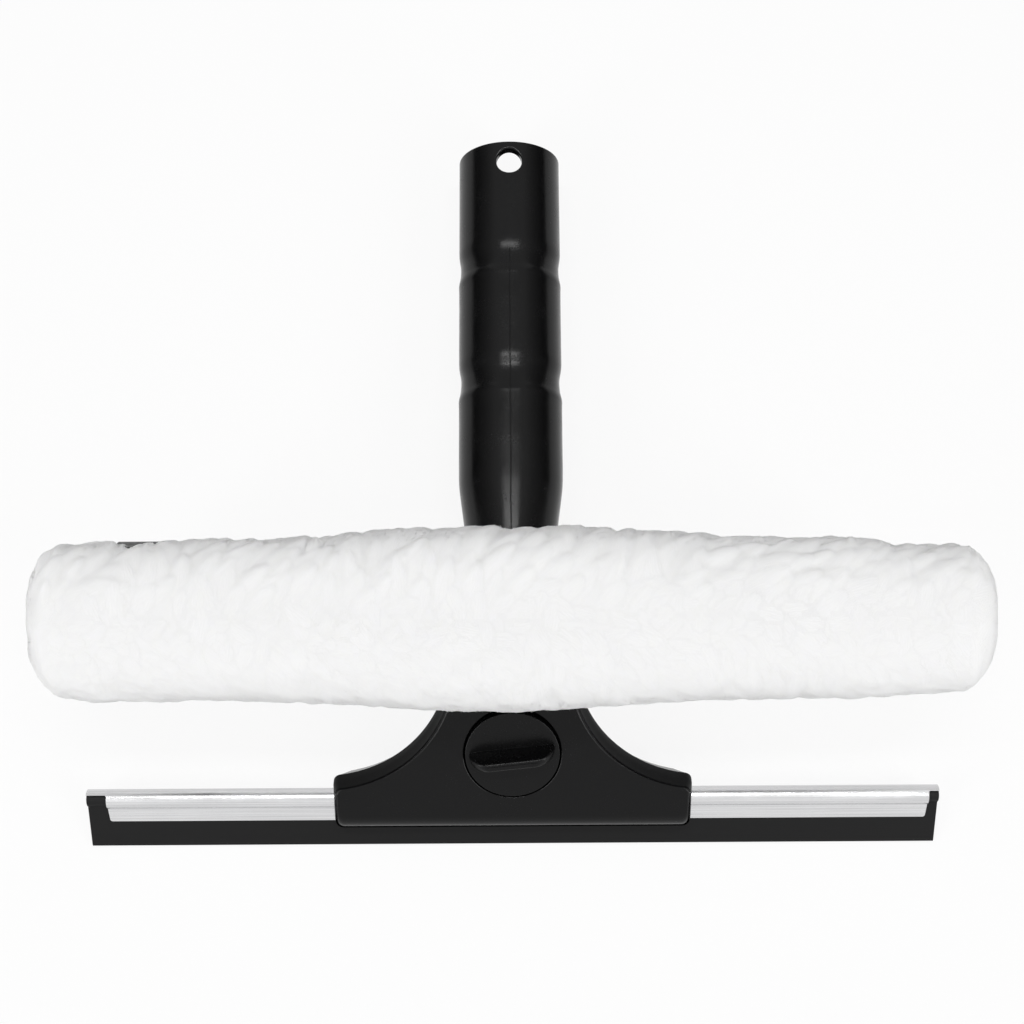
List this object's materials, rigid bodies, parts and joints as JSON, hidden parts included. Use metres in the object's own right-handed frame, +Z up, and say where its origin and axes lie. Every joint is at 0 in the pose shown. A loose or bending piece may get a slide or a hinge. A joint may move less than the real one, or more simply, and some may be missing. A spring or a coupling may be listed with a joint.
{
  "type": "window squeegee",
  "caption": "Window squeegee and washer in one tool: round grip with a pole socket, fleece washer sleeve on a T-bar, and a knob-locked head with a metal channel and rubber blade.",
  "frame": {"origin": "bottom centre of the bounding box, on the table that the blade's edge and the grip's rim rest on", "axes": "+X along the blade to the right as seen from the front, +Y from the blade to the open end of the grip, +Z up, out of the front of the tool"},
  "size_m": [0.36, 0.2878, 0.0963],
  "materials": {
    "black_plastic": "satin, fine grain",
    "black_rubber": "matt",
    "bright_metal": "bright rolled stainless sheet",
    "zinc_steel": "zinc plated",
    "white_fleece": "tufted microfibre pile",
    "black_webbing": "woven webbing"
  },
  "bodies": {
    "handle": {"handle_grip": "black_plastic", "neck_elbow": "black_plastic", "handle_screw_1": "zinc_steel", "handle_screw_2": "zinc_steel", "washer_bar": "black_plastic", "bar_screw_left": "zinc_steel", "bar_screw_right": "zinc_steel", "washer_sleeve": "white_fleece", "sleeve_strap": "black_webbing", "sleeve_loop_patch": "black_webbing", "head_front_shell": "black_plastic", "head_rear_shell": "black_plastic", "shell_screw_upper_left": "zinc_steel", "shell_screw_lower_left": "zinc_steel", "shell_screw_upper_right": "zinc_steel", "shell_screw_lower_right": "zinc_steel", "neck_screw_left": "zinc_steel", "neck_screw_right": "zinc_steel"},
    "knob": {"lock_knob": "black_plastic", "knob_washer": "zinc_steel", "knob_screw": "zinc_steel"},
    "jaw": {"clamp_jaw": "black_plastic"},
    "blade": {"blade_channel": "bright_metal", "rubber_blade": "black_rubber"}
  },
  "joints": [
    {"name": "knob_turn", "type": "hinge", "parent": "handle", "child": "knob", "pos_m": [0, -0.10015, 0.02284], "axis": [0, -0.4497, 0.8932], "range_deg": [0, 90]},
    {"name": "jaw_lift", "type": "slide", "parent": "handle", "child": "jaw", "axis": [0, 0.8932, 0.4497], "range_m": [0, 0.0012]},
    {"name": "blade_slide", "type": "slide", "parent": "handle", "child": "blade", "axis": [1, 0, 0], "range_m": [-0.1, 0.1]}
  ],
  "couplings": [
    {"joint": "knob_turn", "follows": "jaw_lift", "rad_per_m": 1309}
  ]
}
